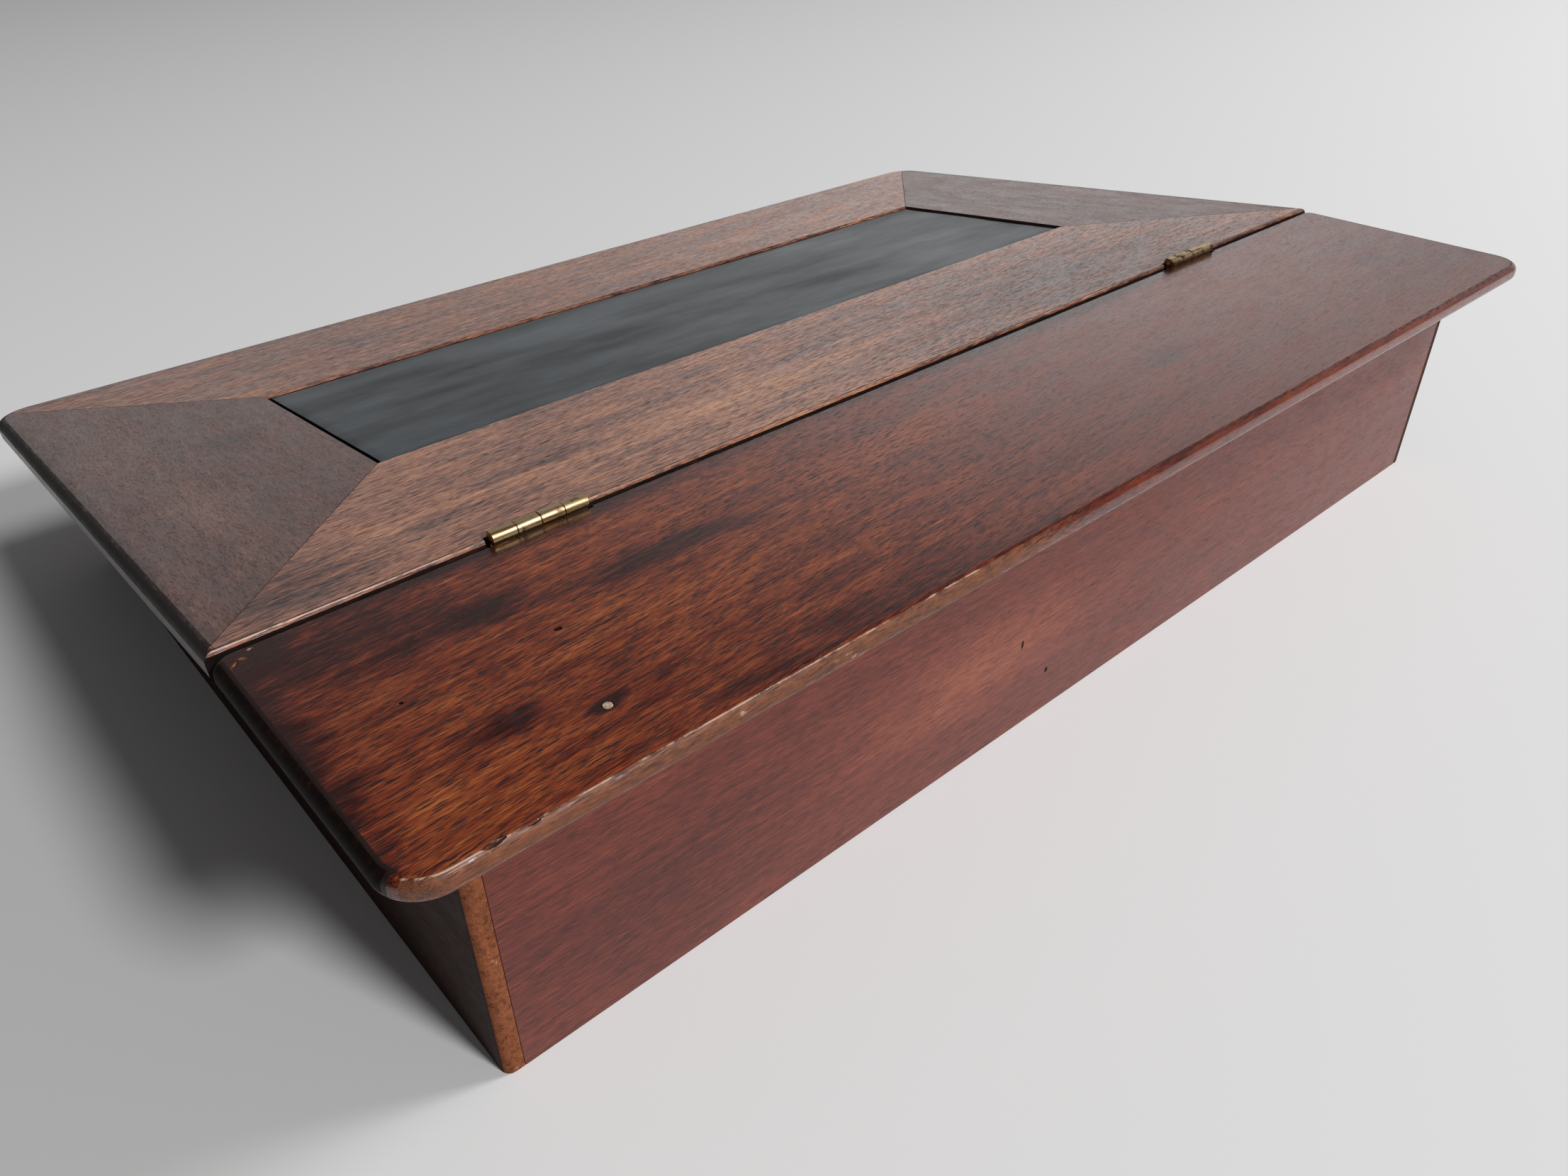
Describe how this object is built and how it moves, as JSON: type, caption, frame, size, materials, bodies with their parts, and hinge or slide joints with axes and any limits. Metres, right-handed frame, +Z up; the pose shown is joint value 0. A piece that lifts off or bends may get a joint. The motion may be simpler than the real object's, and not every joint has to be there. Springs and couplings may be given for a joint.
{
  "type": "travel writing box",
  "caption": "Wedge-shaped wooden writing box: a sloping lid with a mitred frame and a leather inset, hinged on a fixed ledge along the back, with storage and a box lock inside.",
  "frame": {"origin": "under the middle of the box, on the surface that it stands on", "axes": "+X along the box to the writer's right, +Y from the writer to the tall back, +Z up"},
  "size_m": [0.4064, 0.2864, 0.0784],
  "materials": {
    "case_wood": "satin mahogany, plum brown",
    "ledge_wood": "polished mahogany, orange brown",
    "lid_wood": "mahogany rubbed dull, greyish brown",
    "leather": "black, smooth, worn to a soft sheen",
    "brass": "drawn, polished by use",
    "steel": "dull iron",
    "filler": "pale wood filler"
  },
  "bodies": {
    "case": {"back_panel": "case_wood", "front_panel": "case_wood", "left_side": "case_wood", "right_side": "case_wood", "bottom_board": "case_wood", "top_ledge": "ledge_wood", "ledge_brad": "steel", "ledge_brad_plug": "filler", "right_ledge_leaf": "brass", "right_ledge_leaf_screw_1": "brass", "right_ledge_leaf_screw_2": "brass", "right_hinge_pin": "brass", "left_ledge_leaf": "brass", "left_ledge_leaf_screw_1": "brass", "left_ledge_leaf_screw_2": "brass", "left_hinge_pin": "brass", "lock_plate": "brass", "lock_case": "steel", "lock_screw_1": "brass", "lock_screw_2": "brass", "lock_screw_3": "brass", "lock_screw_4": "brass", "keyhole_lining": "brass"},
    "lid": {"lid_hinge_rail": "lid_wood", "lid_front_rail": "lid_wood", "lid_left_stile": "lid_wood", "lid_right_stile": "lid_wood", "lid_panel": "lid_wood", "leather_inset": "leather", "right_lid_leaf": "brass", "right_lid_leaf_screw_1": "brass", "right_lid_leaf_screw_2": "brass", "left_lid_leaf": "brass", "left_lid_leaf_screw_1": "brass", "left_lid_leaf_screw_2": "brass", "link_plate": "brass", "link_screw_1": "brass", "link_screw_2": "brass"},
    "bolt": {"lock_bolt": "brass"}
  },
  "joints": [
    {"name": "lid_hinge", "type": "hinge", "parent": "case", "child": "lid", "pos_m": [0, 0.06503, 0.0767], "axis": [-1, 0, 0], "range_deg": [0, 186]},
    {"name": "bolt_slide", "type": "slide", "parent": "case", "child": "bolt", "axis": [1, 0, 0], "range_m": [0, 0.006]}
  ]
}
